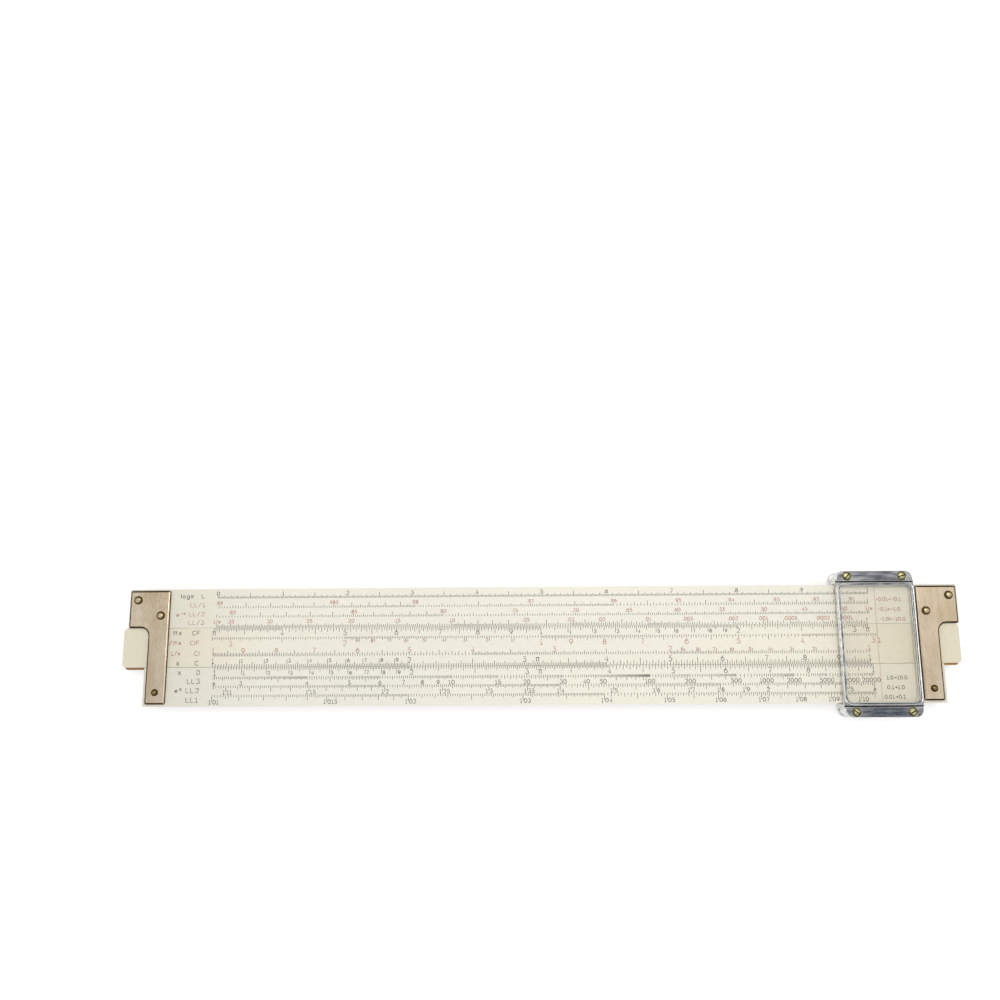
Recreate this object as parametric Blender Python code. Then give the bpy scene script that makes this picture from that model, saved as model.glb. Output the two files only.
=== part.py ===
"""Ten-inch duplex slide rule: two stators and a slide of laminated bamboo faced with celluloid,
L-shaped end brackets, and a metal-framed cursor with a window on each side.

X runs along the rule, Y across it and Z up through the front face. All sizes are in metres.
The model stands on the lowest face of the cursor, under the middle of the rule.
"""

from math import asin, cos, pi, sin, tan

import bmesh
import bpy
from mathutils import Vector

# Rule as a whole
SCALE_LENGTH = 0.250  # from the left index to the right index
BODY_WIDTH = 0.0445
BODY_THICK = 0.0050
SHEET_THICK = 0.0005  # celluloid on each face
SHEET_EASE = 0.00005  # rounding of a sheet's outer edges
GLUE_GAP = 0.00005  # between a sheet and the bamboo under it
SEAT_GAP = 0.00005  # between metal and what it is fastened on
HOLE_CLEAR = 0.0002  # round a fastener's shank

# Slot between the stators, and the slide that runs in it
SLOT_WIDTH = 0.0150
SLOT_BELOW_MIDDLE = 0.0001
GROOVE_DEPTH = 0.0010
GROOVE_HEIGHT = 0.0017
SLIDE_SIDE_GAP = 0.00008
SLIDE_FACE_DROP = 0.0001  # slide's faces below the stators' faces
TONGUE_GAP = 0.0002  # between a tongue and its groove
TONGUE_SETBACK = 0.0004  # tongue's end from the slide's end
SLIDE_PAST_INDEX = 0.0348
SLIDE_END_RADIUS = 0.0014
SLIDE_REST_SHIFT = -0.00093  # the slide lies a little to the left of its middle place
SLIDE_LEAN = 0.00002  # and towards the upper stator

# End brackets
BRACKET_PAST_INDEX = 0.0183  # from the index to the bracket's inner edge
BRACKET_UPPER_LEG = 0.0155
BRACKET_LOWER_LEG = 0.0078
BRACKET_THICK = 0.0009
BRACKET_TOP_MARGIN = 0.0005  # bracket's edge from the rule's upper long edge
BRACKET_BOTTOM_MARGIN = 0.0009  # and from its lower one
BRACKET_ABOVE_SLOT = 0.00005
BRACKET_FILLET = 0.0030
BRACKET_BEVEL = 0.00065
BRACKET_CORNER = 0.00005  # flat-face corner radius, inside the bevel
UPPER_STATOR_PAST_BRACKET = 0.0004
LOWER_STATOR_PAST_BRACKET = 0.0010

# Screw posts through the upper stator, with a slotted screw in each from behind
POST_SHANK_RADIUS = 0.0011
POST_HEAD_RADIUS = 0.0016
POST_HEAD_RIM = 0.0002
POST_HEAD_DOME = 0.0006
POST_SHORT = 0.0003  # post's end from the rule's back face
OUTER_POST_FROM_SIDE = 0.00315
OUTER_POST_FROM_TOP = 0.00365
INNER_POST_FROM_EDGE = 0.0033
INNER_POST_ABOVE_SLOT = 0.0048
BACK_SCREW_SHANK_RADIUS = 0.0006
BACK_SCREW_GRIP = 0.0020  # screw's length inside the post
BACK_SCREW_HEAD_RADIUS = 0.0015
BACK_SCREW_HEAD_HEIGHT = 0.0007

# Rivets through the lower stator
RIVET_SHANK_RADIUS = 0.0008
RIVET_HEAD_RADIUS = 0.0013
RIVET_HEAD_RIM = 0.00015
RIVET_HEAD_DOME = 0.0005
RIVET_FROM_BOTTOM = 0.0045

# Cursor
CURSOR_LENGTH = 0.0295  # along the rule
CURSOR_FROM_BRACKET = 0.00115  # at rest, from the right bracket
CURSOR_FACE_GAP = 0.0004  # frames above the rule's faces
CURSOR_EDGE_GAP = 0.0003  # rails off the rule's long edges
FRAME_FLOOR = 0.0016
FRAME_CORNER = 0.0030
BEZEL_RISE = 0.0010
BEZEL_INSET = 0.0001
BEZEL_PAST_BODY = 0.0008
BEZEL_WIDTH = 0.00115
BEZEL_EASE = 0.00045
WINDOW_CORNER = 0.0018
GROOVE_BESIDE_CAP = 0.0004
CAP_RISE = 0.0006
CAP_INSET = 0.0001
CAP_EASE = 0.00025
CAP_INNER_CORNER = 0.0005
CAP_SCREW_MARGIN = 0.00028  # from a counterbore to the cap's side
GLASS_THICK = 0.0020
GLASS_RAISED = 0.0001  # glass above the frame's underside
GLASS_GAP = 0.0001
GLASS_EASE = 0.0002
RAIL_INSET = 0.0002  # rail inside the frames' outline
SPRING_POCKET = 0.0013  # pocket's roof from the rule's edge
SPRING_LENGTH = 0.0150
SPRING_THICK = 0.00025
SPRING_HEIGHT = 0.0026
SPRING_END_GAP = 0.0003
SPRING_EDGE_GAP = 0.0001  # spring off the rule's edge

# Cursor screws
SCREW_FROM_END = 0.0043
SCREW_HEAD_RADIUS = 0.00155
SCREW_HEAD_HEIGHT = 0.0007
SCREW_HEAD_GAP = 0.00012  # round the head in its counterbore
SCREW_SUNK = 0.00045
SCREW_SHANK_RADIUS = 0.0007
SCREW_GRIP = 0.0018  # screw's length inside the rail

# Every slotted head
SLOT_CUT_WIDTH = 0.00045
SLOT_CUT_DEPTH = 0.0003
HEAD_EASE = 0.00015

OVERRUN = 0.0010  # how far a cutter passes the faces it cuts
SAME_PLACE = 1e-7
ARC_STEPS = 4
ROUND_STEPS = 20
DOME_STEPS = 4
SPRING_STEPS = 10
EASE_STEPS = 2

# Places worked out from the sizes above, with Z counted from the middle of the thickness
half_scale = SCALE_LENGTH / 2
half_width = BODY_WIDTH / 2
half_thick = BODY_THICK / 2
core_half = half_thick - SHEET_THICK - GLUE_GAP
slot_top = SLOT_WIDTH / 2 - SLOT_BELOW_MIDDLE
slot_bottom = -SLOT_WIDTH / 2 - SLOT_BELOW_MIDDLE
bracket_inner = half_scale + BRACKET_PAST_INDEX
bracket_outer = bracket_inner + BRACKET_UPPER_LEG
bracket_lower_outer = bracket_inner + BRACKET_LOWER_LEG
bracket_top = half_width - BRACKET_TOP_MARGIN
bracket_bottom = BRACKET_BOTTOM_MARGIN - half_width
bracket_low = half_thick + SEAT_GAP
bracket_high = bracket_low + BRACKET_THICK
upper_end = bracket_outer + UPPER_STATOR_PAST_BRACKET
lower_end = bracket_lower_outer + LOWER_STATOR_PAST_BRACKET
slide_end = half_scale + SLIDE_PAST_INDEX
slide_half_width = SLOT_WIDTH / 2 - SLIDE_SIDE_GAP
slide_half_thick = half_thick - SLIDE_FACE_DROP
slide_core_half = slide_half_thick - SHEET_THICK - GLUE_GAP

counterbore_radius = SCREW_HEAD_RADIUS + SCREW_HEAD_GAP
cap_width = 2 * (counterbore_radius + CAP_SCREW_MARGIN)
frame_low = half_thick + CURSOR_FACE_GAP
frame_half_x = CURSOR_LENGTH / 2
bezel_half_x = frame_half_x - BEZEL_INSET
bezel_half_y = half_width + BEZEL_PAST_BODY
cap_inner_y = bezel_half_y + GROOVE_BESIDE_CAP
cap_outer_y = cap_inner_y + cap_width
frame_half_y = cap_outer_y + CAP_INSET
screw_x = frame_half_x - SCREW_FROM_END
screw_y = (cap_inner_y + cap_outer_y) / 2
screw_places = [(x, y) for x in (-screw_x, screw_x) for y in (-screw_y, screw_y)]
cap_top = FRAME_FLOOR + CAP_RISE
bezel_top = FRAME_FLOOR + BEZEL_RISE
rail_half_height = frame_low - SEAT_GAP
cursor_rest_x = bracket_inner - CURSOR_FROM_BRACKET - frame_half_x
middle_height = frame_low + bezel_top

post_places = [
    (bracket_outer - OUTER_POST_FROM_SIDE, bracket_top - OUTER_POST_FROM_TOP),
    (bracket_inner + INNER_POST_FROM_EDGE, slot_top + INNER_POST_ABOVE_SLOT),
]
rivet_place = ((bracket_inner + bracket_lower_outer) / 2, bracket_bottom + RIVET_FROM_BOTTOM)
ends = {"left": -1, "right": 1}

# Colour, roughness and metallic value of each finish
FINISHES = {
    "celluloid": ((0.80, 0.77, 0.67), 0.35, 0.0),
    "bamboo": ((0.56, 0.42, 0.25), 0.60, 0.0),
    "nickel_silver": ((0.62, 0.53, 0.42), 0.38, 1.0),
    "polished_nickel": ((0.74, 0.69, 0.58), 0.18, 1.0),
    "chrome": ((0.62, 0.65, 0.70), 0.10, 1.0),
    "brass": ((0.68, 0.60, 0.30), 0.28, 1.0),
    "spring_bronze": ((0.60, 0.45, 0.28), 0.35, 1.0),
    "glass": ((0.93, 0.95, 0.94), 0.05, 0.0),
}


def clear_scene():
    for thing in list(bpy.data.objects):
        bpy.data.objects.remove(thing)


def carrier(name, location, parent=None):
    """An empty that the pieces of one moving group hang from."""
    empty = bpy.data.objects.new(name, None)
    empty.location = location
    empty.parent = parent
    bpy.context.collection.objects.link(empty)
    return empty


def finish_for(name, kind):
    colour, roughness, metallic = FINISHES[kind]
    material = bpy.data.materials.new(f"{name}_{kind}")
    material.use_nodes = True
    shader = material.node_tree.nodes["Principled BSDF"]
    shader.inputs["Base Color"].default_value = (*colour, 1.0)
    shader.inputs["Roughness"].default_value = roughness
    shader.inputs["Metallic"].default_value = metallic
    return material


def mesh_from(shape):
    mesh = bpy.data.meshes.new("shape")
    bmesh.ops.recalc_face_normals(shape, faces=shape.faces)
    shape.to_mesh(mesh)
    shape.free()
    return mesh


def piece(name, mesh, kind, parent, location=(0, 0, 0), turned_over=False):
    """A named solid with a finish of its own. A piece turned over faces the back."""
    mesh = mesh.copy() if mesh.users else mesh
    thing = bpy.data.objects.new(name, mesh)
    thing.location = location
    thing.rotation_euler = (pi if turned_over else 0, 0, 0)
    thing.parent = parent
    bpy.context.collection.objects.link(thing)
    mesh.materials.clear()
    mesh.materials.append(finish_for(name, kind))
    mesh.shade_smooth()
    mesh.set_sharp_from_angle(angle=pi / 6)
    return thing


def cutter(name, mesh, parent=None):
    guide = bpy.data.objects.new(name, mesh)
    guide.parent = parent
    guide.hide_render = True
    guide.display_type = "WIRE"
    bpy.context.collection.objects.link(guide)
    return guide


def combine(thing, other, operation):
    modifier = thing.modifiers.new(f"{operation.lower()} {other.name}", "BOOLEAN")
    modifier.operation = operation
    modifier.solver = "EXACT"
    modifier.object = other


def cut(thing, *cutters):
    for guide in cutters:
        combine(thing, guide, "DIFFERENCE")


def join(thing, *others):
    for guide in others:
        combine(thing, guide, "UNION")


def settled_mesh(thing):
    """The mesh of a pattern piece with its modifiers applied. The pattern is then removed."""
    bpy.context.view_layer.update()
    graph = bpy.context.evaluated_depsgraph_get()
    mesh = bpy.data.meshes.new_from_object(thing.evaluated_get(graph))
    bpy.data.objects.remove(thing)
    return mesh


def rounded(corners):
    """An outline from corners (x, y, radius), each rounded by an arc that meets both sides."""
    outline = []
    for index, (x, y, radius) in enumerate(corners):
        here = Vector((x, y))
        if radius <= 0:
            outline.append((x, y))
            continue
        before = (Vector(corners[index - 1][:2]) - here).normalized()
        after = (Vector(corners[(index + 1) % len(corners)][:2]) - here).normalized()
        half_angle = before.angle(after) / 2
        centre = here + (before + after).normalized() * (radius / sin(half_angle))
        start = here + before * (radius / tan(half_angle)) - centre
        end = here + after * (radius / tan(half_angle)) - centre
        sweep = start.angle_signed(end)
        for step in range(ARC_STEPS + 1):
            angle = -sweep * step / ARC_STEPS
            outline.append(
                (
                    centre.x + start.x * cos(angle) - start.y * sin(angle),
                    centre.y + start.x * sin(angle) + start.y * cos(angle),
                )
            )
    return outline


def rectangle(x0, y0, x1, y1, radius=0, upper_radius=None):
    upper = radius if upper_radius is None else upper_radius
    return rounded([(x0, y0, radius), (x1, y0, radius), (x1, y1, upper), (x0, y1, upper)])


def prism(outline, low, high, ease=0):
    """An outline raised from low to high, with the rim of the high end eased."""
    shape = bmesh.new()
    base = shape.faces.new([shape.verts.new((x, y, low)) for x, y in outline])
    raised = bmesh.ops.extrude_face_region(shape, geom=[base])["geom"]
    moved = [part for part in raised if isinstance(part, bmesh.types.BMVert)]
    bmesh.ops.translate(shape, verts=moved, vec=(0, 0, high - low))
    if ease > 0:
        rim = [
            edge
            for edge in shape.edges
            if all(abs(vert.co.z - high) < SAME_PLACE for vert in edge.verts)
        ]
        bmesh.ops.bevel(
            shape, geom=rim, offset=ease, segments=EASE_STEPS, profile=0.5, affect="EDGES"
        )
    return mesh_from(shape)


def turned(profile):
    """A profile of (radius, height) points spun round Z. It starts and ends on the axis."""
    shape = bmesh.new()
    verts = [shape.verts.new((radius, 0, height)) for radius, height in profile]
    edges = [shape.edges.new(pair) for pair in zip(verts, verts[1:])]
    bmesh.ops.spin(
        shape,
        geom=verts + edges,
        cent=(0, 0, 0),
        axis=(0, 0, 1),
        angle=2 * pi,
        steps=ROUND_STEPS,
    )
    bmesh.ops.remove_doubles(shape, verts=shape.verts, dist=SAME_PLACE)
    return mesh_from(shape)


def rod(radius, low, high):
    return ((0, low), (radius, low), (radius, high), (0, high))


def bores(name, places, profile, parent=None):
    """One cutter with a turned rod at each place."""
    rods = bmesh.new()
    for x, y in places:
        first = len(rods.verts)
        rods.from_mesh(turned(profile))
        bmesh.ops.translate(rods, verts=rods.verts[first:], vec=(x, y, 0))
    return cutter(name, mesh_from(rods), parent)


def dome(radius, base, height):
    """Points up a spherical cap from its rim to its top."""
    sphere = (radius**2 + height**2) / (2 * height)
    centre = base + height - sphere
    rim_angle = asin(min(1, radius / sphere))
    steps = [rim_angle * (1 - step / DOME_STEPS) for step in range(DOME_STEPS + 1)]
    return [(sphere * sin(angle), centre + sphere * cos(angle)) for angle in steps[:-1]] + [
        (0, base + height)
    ]


def slotted_head_mesh(head_radius, head_height, shank_radius, shank_length):
    """A slotted cheese-head screw with the underside of its head at Z = 0."""
    profile = [
        (0, -shank_length),
        (shank_radius, -shank_length),
        (shank_radius, 0),
        (head_radius, 0),
        (head_radius, head_height - HEAD_EASE),
        (head_radius - HEAD_EASE, head_height),
        (0, head_height),
    ]
    screw = piece("screw_pattern", turned(profile), "brass", None)
    reach = head_radius + OVERRUN
    half_slot = SLOT_CUT_WIDTH / 2
    outline = rectangle(-reach, -half_slot, reach, half_slot)
    slot_low = head_height - SLOT_CUT_DEPTH
    cut(screw, cutter("screw_slot", prism(outline, slot_low, head_height + OVERRUN)))
    return settled_mesh(screw)


def stator(name, edge_y, slot_y, half_length, holes):
    """A bamboo core with a groove for the slide's tongue, and a celluloid sheet on each face."""
    low_y, high_y = sorted((edge_y, slot_y))
    outline = rectangle(-half_length, low_y, half_length, high_y)
    core = piece(f"{name}_core", prism(outline, -core_half, core_half), "bamboo", middle)
    inward = 1 if edge_y > slot_y else -1
    groove_y = sorted((slot_y - inward * OVERRUN, slot_y + inward * GROOVE_DEPTH))
    reach = half_length + OVERRUN
    groove_outline = rectangle(-reach, groove_y[0], reach, groove_y[1])
    groove_mesh = prism(groove_outline, -GROOVE_HEIGHT / 2, GROOVE_HEIGHT / 2)
    cut(core, cutter(f"{name}_groove", groove_mesh, middle), holes)
    for side, turned_over in (("front", False), ("back", True)):
        y0, y1 = (low_y, high_y) if side == "front" else (-high_y, -low_y)
        face_outline = rectangle(-half_length, y0, half_length, y1)
        mesh = prism(face_outline, half_thick - SHEET_THICK, half_thick, SHEET_EASE)
        sheet = piece(f"{name}_{side}_face", mesh, "celluloid", middle, turned_over=turned_over)
        cut(sheet, holes)


def slide():
    """The slide's core carries a tongue along each edge, and a sheet on each face."""
    outline = rectangle(-slide_end, -slide_half_width, slide_end, slide_half_width, SLIDE_END_RADIUS)
    core = piece("slide_core", prism(outline, -slide_core_half, slide_core_half), "bamboo", slider)
    reach_y = SLOT_WIDTH / 2 + GROOVE_DEPTH - TONGUE_GAP
    reach_x = slide_end - TONGUE_SETBACK
    tongue_half = GROOVE_HEIGHT / 2 - TONGUE_GAP
    tongue_outline = rectangle(-reach_x, -reach_y, reach_x, reach_y, SLIDE_END_RADIUS)
    tongues = cutter("slide_tongues", prism(tongue_outline, -tongue_half, tongue_half), slider)
    join(core, tongues)
    for side, turned_over in (("front", False), ("back", True)):
        mesh = prism(outline, slide_half_thick - SHEET_THICK, slide_half_thick, SHEET_EASE)
        piece(f"slide_{side}_face", mesh, "celluloid", slider, turned_over=turned_over)


def bracket_outline(end, flip):
    corner = BRACKET_CORNER + BRACKET_BEVEL
    notch_y = slot_top + BRACKET_ABOVE_SLOT
    corners = [
        (bracket_inner, bracket_bottom, corner),
        (bracket_lower_outer, bracket_bottom, corner),
        (bracket_lower_outer, notch_y, BRACKET_FILLET),
        (bracket_outer, notch_y, corner),
        (bracket_outer, bracket_top, corner),
        (bracket_inner, bracket_top, corner),
    ]
    placed = [(end * x, flip * y, radius) for x, y, radius in corners]
    return rounded(placed if end * flip > 0 else placed[::-1])


def brackets(post_holes, screw_holes, rivet_holes):
    for end_name, end in ends.items():
        for side, flip in (("front", 1), ("back", -1)):
            mesh = prism(bracket_outline(end, flip), bracket_low, bracket_high, BRACKET_BEVEL)
            name = f"{end_name}_{side}_bracket"
            plate = piece(name, mesh, "nickel_silver", middle, turned_over=side == "back")
            cut(plate, post_holes if side == "front" else screw_holes, rivet_holes)


def bracket_fasteners():
    post_end = POST_SHORT - half_thick
    bore_radius = BACK_SCREW_SHANK_RADIUS + HOLE_CLEAR
    bore_top = post_end + BACK_SCREW_GRIP + HOLE_CLEAR
    head_low = bracket_high + SEAT_GAP
    post_profile = [
        (0, bore_top),
        (bore_radius, bore_top),
        (bore_radius, post_end),
        (POST_SHANK_RADIUS, post_end),
        (POST_SHANK_RADIUS, head_low),
        (POST_HEAD_RADIUS, head_low),
    ]
    post_profile += dome(POST_HEAD_RADIUS, head_low + POST_HEAD_RIM, POST_HEAD_DOME)
    post_mesh = turned(post_profile)
    shank_length = head_low - half_thick + POST_SHORT + BACK_SCREW_GRIP
    screw_mesh = slotted_head_mesh(
        BACK_SCREW_HEAD_RADIUS, BACK_SCREW_HEAD_HEIGHT, BACK_SCREW_SHANK_RADIUS, shank_length
    )
    upper_half = [(RIVET_SHANK_RADIUS, head_low), (RIVET_HEAD_RADIUS, head_low)]
    upper_half += dome(RIVET_HEAD_RADIUS, head_low + RIVET_HEAD_RIM, RIVET_HEAD_DOME)
    rivet_mesh = turned([(radius, -height) for radius, height in upper_half[::-1]] + upper_half)
    for end_name, end in ends.items():
        for place_name, (x, y) in zip(("outer", "inner"), post_places):
            name = f"{end_name}_{place_name}"
            piece(f"{name}_post", post_mesh, "polished_nickel", middle, (end * x, y, 0))
            seat = (end * x, y, -head_low)
            piece(f"{name}_back_screw", screw_mesh, "polished_nickel", middle, seat, True)
        x, y = rivet_place
        piece(f"{end_name}_rivet", rivet_mesh, "polished_nickel", middle, (end * x, y, 0))


def cursor_frames():
    """Front and back frame: a plate with a raised bezel round the window and a cap at each end."""
    plate = rectangle(-frame_half_x, -frame_half_y, frame_half_x, frame_half_y, FRAME_CORNER)
    frame = piece("frame_pattern", prism(plate, 0, FRAME_FLOOR), "chrome", None)
    inside = FRAME_FLOOR / 2
    bezel_corner = WINDOW_CORNER + BEZEL_WIDTH
    bezel = rectangle(-bezel_half_x, -bezel_half_y, bezel_half_x, bezel_half_y, bezel_corner)
    cap_half_x = frame_half_x - CAP_INSET
    cap_corner = FRAME_CORNER - CAP_INSET
    upper_cap = rectangle(
        -cap_half_x, cap_inner_y, cap_half_x, cap_outer_y, CAP_INNER_CORNER, cap_corner
    )
    lower_cap = [(-x, -y) for x, y in upper_cap]
    join(
        frame,
        cutter("bezel", prism(bezel, inside, bezel_top, BEZEL_EASE)),
        cutter("upper_cap", prism(upper_cap, inside, cap_top, CAP_EASE)),
        cutter("lower_cap", prism(lower_cap, inside, cap_top, CAP_EASE)),
    )
    window_x = bezel_half_x - BEZEL_WIDTH
    window_y = bezel_half_y - BEZEL_WIDTH
    window = rectangle(-window_x, -window_y, window_x, window_y, WINDOW_CORNER)
    cut(frame, cutter("window", prism(window, -OVERRUN, bezel_top + OVERRUN)))
    shank_radius = SCREW_SHANK_RADIUS + HOLE_CLEAR
    sink = cap_top - SCREW_SUNK
    hole_profile = (
        (0, -OVERRUN),
        (shank_radius, -OVERRUN),
        (shank_radius, sink),
        (counterbore_radius, sink),
        (counterbore_radius, cap_top + OVERRUN),
        (0, cap_top + OVERRUN),
    )
    cut(frame, bores("frame_screw_holes", screw_places, hole_profile))
    frame_mesh = settled_mesh(frame)

    glass_x = window_x - GLASS_GAP
    glass_y = window_y - GLASS_GAP
    glass = rectangle(-glass_x, -glass_y, glass_x, glass_y, WINDOW_CORNER - GLASS_GAP)
    glass_mesh = prism(glass, GLASS_RAISED, GLASS_RAISED + GLASS_THICK, GLASS_EASE)
    for side, way in (("front", 1), ("back", -1)):
        seat = (0, 0, way * frame_low)
        piece(f"cursor_{side}_frame", frame_mesh, "chrome", runner, seat, way < 0)
        piece(f"cursor_{side}_glass", glass_mesh, "glass", runner, seat, way < 0)


def cursor_rails():
    """Bars that join the two frames along the rule's edges. The upper one holds the spring."""
    rail_half_x = frame_half_x - RAIL_INSET
    inner_y = half_width + CURSOR_EDGE_GAP
    outer_y = frame_half_y - RAIL_INSET
    corner = FRAME_CORNER - RAIL_INSET
    upper = rectangle(-rail_half_x, inner_y, rail_half_x, outer_y, 0, corner)
    lower = [(-x, -y) for x, y in upper]
    reach_z = rail_half_height + OVERRUN
    hole_profile = rod(SCREW_SHANK_RADIUS + HOLE_CLEAR, -reach_z, reach_z)
    holes = bores("rail_holes", screw_places, hole_profile, runner)
    pocket_x = SPRING_LENGTH / 2 + SPRING_END_GAP
    roof_y = half_width + SPRING_POCKET
    pocket_outline = rectangle(-pocket_x, half_width, pocket_x, roof_y)
    pocket = cutter("spring_pocket", prism(pocket_outline, -reach_z, reach_z), runner)
    for name, outline in (("upper", upper), ("lower", lower)):
        mesh = prism(outline, -rail_half_height, rail_half_height)
        rail = piece(f"cursor_{name}_rail", mesh, "chrome", runner)
        cut(rail, holes)
        if name == "upper":
            cut(rail, pocket)


def cursor_spring():
    """A bowed leaf: its ends bear on the pocket's roof and its middle on the rule's edge."""
    roof_y = half_width + SPRING_POCKET - SEAT_GAP
    bow = SPRING_POCKET - SEAT_GAP - SPRING_EDGE_GAP - SPRING_THICK
    radius = ((SPRING_LENGTH / 2) ** 2 + bow**2) / (2 * bow)
    centre_y = roof_y - bow + radius
    half_angle = asin(SPRING_LENGTH / 2 / (radius + SPRING_THICK))
    angles = [half_angle * (2 * step / SPRING_STEPS - 1) for step in range(SPRING_STEPS + 1)]
    outer = [(sin(a) * (radius + SPRING_THICK), -cos(a) * (radius + SPRING_THICK)) for a in angles]
    inner = [(sin(a) * radius, -cos(a) * radius) for a in reversed(angles)]
    outline = [(x, centre_y + y) for x, y in outer + inner]
    mesh = prism(outline, -SPRING_HEIGHT / 2, SPRING_HEIGHT / 2)
    piece("cursor_spring", mesh, "spring_bronze", runner)


def cursor_screws():
    seat_z = frame_low + cap_top - SCREW_SUNK + SEAT_GAP
    shank_length = seat_z - rail_half_height + SCREW_GRIP
    mesh = slotted_head_mesh(SCREW_HEAD_RADIUS, SCREW_HEAD_HEIGHT, SCREW_SHANK_RADIUS, shank_length)
    for side, way in (("front", 1), ("back", -1)):
        for row, y in (("upper", screw_y), ("lower", -screw_y)):
            for end_name, end in ends.items():
                name = f"cursor_{side}_{row}_{end_name}_screw"
                piece(name, mesh, "brass", runner, (end * screw_x, y, way * seat_z), way < 0)


clear_scene()
middle = carrier("rule_middle", (0, 0, middle_height))
slider = carrier("slide_carrier", (SLIDE_REST_SHIFT, SLIDE_LEAN - SLOT_BELOW_MIDDLE, 0), middle)
runner = carrier("cursor_carrier", (cursor_rest_x, 0, 0), middle)

through = bracket_high + OVERRUN
both_posts = [(end * x, y) for end in ends.values() for x, y in post_places]
both_rivets = [(end * rivet_place[0], rivet_place[1]) for end in ends.values()]
post_rod = rod(POST_SHANK_RADIUS + HOLE_CLEAR, -through, through)
screw_rod = rod(BACK_SCREW_SHANK_RADIUS + HOLE_CLEAR, -through, through)
rivet_rod = rod(RIVET_SHANK_RADIUS + HOLE_CLEAR, -through, through)
post_bores = bores("post_bores", both_posts, post_rod, middle)
screw_bores = bores("screw_bores", both_posts, screw_rod, middle)
rivet_bores = bores("rivet_bores", both_rivets, rivet_rod, middle)

stator("upper_stator", half_width, slot_top, upper_end, post_bores)
stator("lower_stator", -half_width, slot_bottom, lower_end, rivet_bores)
slide()
brackets(post_bores, screw_bores, rivet_bores)
bracket_fasteners()
cursor_frames()
cursor_rails()
cursor_spring()
cursor_screws()
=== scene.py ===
import math
from math import log10

import bmesh
import bpy
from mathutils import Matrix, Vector


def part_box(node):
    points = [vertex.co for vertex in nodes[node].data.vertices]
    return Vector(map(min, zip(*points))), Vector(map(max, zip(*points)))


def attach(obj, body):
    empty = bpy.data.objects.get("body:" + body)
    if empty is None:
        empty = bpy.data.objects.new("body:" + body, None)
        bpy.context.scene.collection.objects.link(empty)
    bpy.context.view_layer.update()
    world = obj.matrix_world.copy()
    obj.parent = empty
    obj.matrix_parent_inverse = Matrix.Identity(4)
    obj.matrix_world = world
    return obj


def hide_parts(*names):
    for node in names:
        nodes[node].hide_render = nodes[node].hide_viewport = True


# A ten-inch duplex slide rule on a pale table. Sizes are in millimetres, as a rule maker writes them, and
# become metres where a mesh is made.
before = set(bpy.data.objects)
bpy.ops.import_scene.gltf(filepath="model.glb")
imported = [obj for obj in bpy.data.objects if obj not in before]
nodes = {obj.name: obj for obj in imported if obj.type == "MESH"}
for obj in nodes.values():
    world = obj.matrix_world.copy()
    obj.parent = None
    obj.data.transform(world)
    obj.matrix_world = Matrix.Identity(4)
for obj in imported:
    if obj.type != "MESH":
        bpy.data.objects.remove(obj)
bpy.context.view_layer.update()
mm = 0.001
scene = bpy.context.scene
scene.view_settings.view_transform = "Standard"


# small helpers

def linear(hexColour):
    # an sRGB hex value as the linear colour that a shader takes
    parts = [int(hexColour[i:i + 2], 16) / 255 for i in (1, 3, 5)]
    return tuple(p / 12.92 if p <= 0.04045 else ((p + 0.055) / 1.055) ** 2.4 for p in parts) + (1.0,)


def addNode(tree, kind, settings=None, inputs=None):
    # settings are the node's own properties; an input is a value, or another node's output to link
    node = tree.nodes.new(kind)
    for name, value in (settings or {}).items():
        setattr(node, name, value)
    for name, value in (inputs or {}).items():
        if isinstance(value, bpy.types.NodeSocket):
            tree.links.new(value, node.inputs[name])
        else:
            node.inputs[name].default_value = value
    return node


def perMetre(size):
    # how often a pattern of this size in millimetres comes in a metre
    return 1 / (size * mm)


def linkObject(name, mesh):
    made = bpy.data.objects.new(name, mesh)
    scene.collection.objects.link(made)
    return made


def meshFrom(shape, name):
    mesh = bpy.data.meshes.new(name)
    shape.to_mesh(mesh)
    shape.free()
    return mesh


def faceHeight(node, end):
    # the height of a CAD node's top (end 1) or bottom (end 0), in millimetres
    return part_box(node)[end].z / mm


def plainMesh(holder):
    # what the modifiers make, as one plain mesh; the object that held them goes
    mesh = bpy.data.meshes.new_from_object(holder.evaluated_get(bpy.context.evaluated_depsgraph_get()))
    bpy.data.objects.remove(holder)
    return mesh


def settle(holder, body, standsFor=()):
    # the finished piece, which rides on its body
    name = holder.name
    mesh = plainMesh(holder)
    mesh.name = name
    piece = linkObject(name, mesh)
    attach(piece, body)
    if standsFor:
        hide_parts(*standsFor)
    return piece


def newTree(name, inputs):
    # an empty Geometry Nodes tree with named inputs; returns it with its input node
    tree = bpy.data.node_groups.new(name, "GeometryNodeTree")
    tree.interface.new_socket("Geometry", in_out="INPUT", socket_type="NodeSocketGeometry")
    for label, kind in inputs:
        tree.interface.new_socket(label, in_out="INPUT", socket_type="NodeSocket" + kind)
    tree.interface.new_socket("Geometry", in_out="OUTPUT", socket_type="NodeSocketGeometry")
    return tree, addNode(tree, "NodeGroupInput").outputs


def endTree(tree, instances, finish):
    whole = addNode(tree, "GeometryNodeRealizeInstances", inputs={"Geometry": instances})
    painted = addNode(tree, "GeometryNodeSetMaterial", inputs={
        "Geometry": whole.outputs["Geometry"], "Material": finish})
    addNode(tree, "NodeGroupOutput", inputs={"Geometry": painted.outputs["Geometry"]})


def runTree(name, mesh, tree, values):
    holder = linkObject(name, mesh)
    modifier = holder.modifiers.new(tree.name, "NODES")
    modifier.node_group = tree
    for item in tree.interface.items_tree:
        if item.in_out == "INPUT" and item.name in values:
            modifier[item.identifier] = values[item.name]
    return holder


# finishes

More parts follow.
